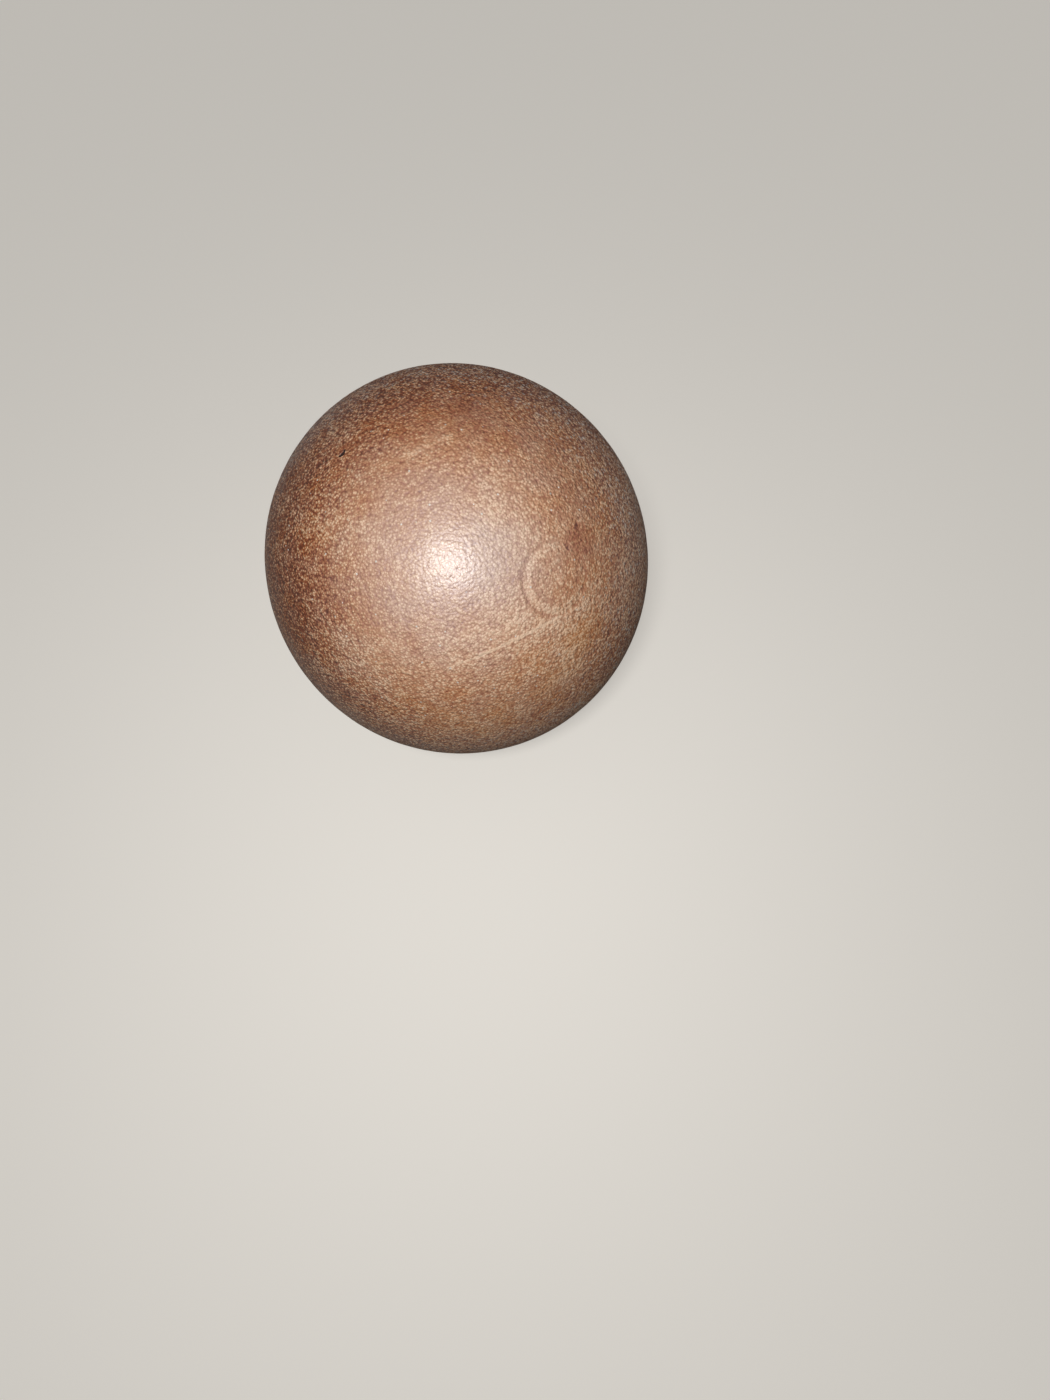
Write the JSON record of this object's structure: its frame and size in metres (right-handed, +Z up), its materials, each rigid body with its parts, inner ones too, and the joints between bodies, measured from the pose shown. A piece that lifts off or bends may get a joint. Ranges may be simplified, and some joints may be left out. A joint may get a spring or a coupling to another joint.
{
  "type": "wooden ball",
  "caption": "Solid turned wooden ball in brown stained hardwood with a satin finish and a fine parting ring at each end of its turning axis; sits in a cup, ring or dish.",
  "frame": {"origin": "centre of the ball", "axes": "+Z up as the ball lies in the picture, +Y away from the viewer, +X to the viewer's right"},
  "size_m": [0.04, 0.04, 0.04],
  "materials": {
    "stained_hardwood": "brown stain under a thin satin wax, with raised grain"
  },
  "bodies": {
    "root": {"wooden_ball": "stained_hardwood"}
  },
  "joints": []
}
